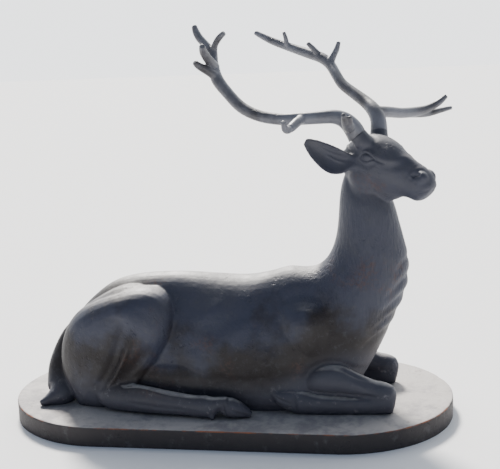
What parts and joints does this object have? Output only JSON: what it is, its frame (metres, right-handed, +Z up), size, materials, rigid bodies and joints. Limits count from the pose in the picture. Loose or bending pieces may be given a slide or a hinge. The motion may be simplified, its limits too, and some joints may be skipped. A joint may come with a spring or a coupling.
{
  "type": "stag statue",
  "caption": "Cast iron stag lying with folded legs and its head raised and turned, with branching antlers, on a flat plinth with round ends.",
  "frame": {"origin": "centre of the plinth's underside", "axes": "+X towards the stag's chest along the plinth, +Y to the stag's left, +Z up; the head looks between +X and -Y"},
  "size_m": [1.6057, 0.7828, 1.384],
  "materials": {
    "stag_iron": "dark blue-grey patina with a satin sheen",
    "antler_iron": "smooth dark grey iron, satin",
    "plinth_iron": "weathered, dusty on top, rust at the edge"
  },
  "bodies": {
    "root": {"plinth": "plinth_iron", "stag": "stag_iron", "antler_left": "antler_iron", "antler_right": "antler_iron"}
  },
  "joints": []
}
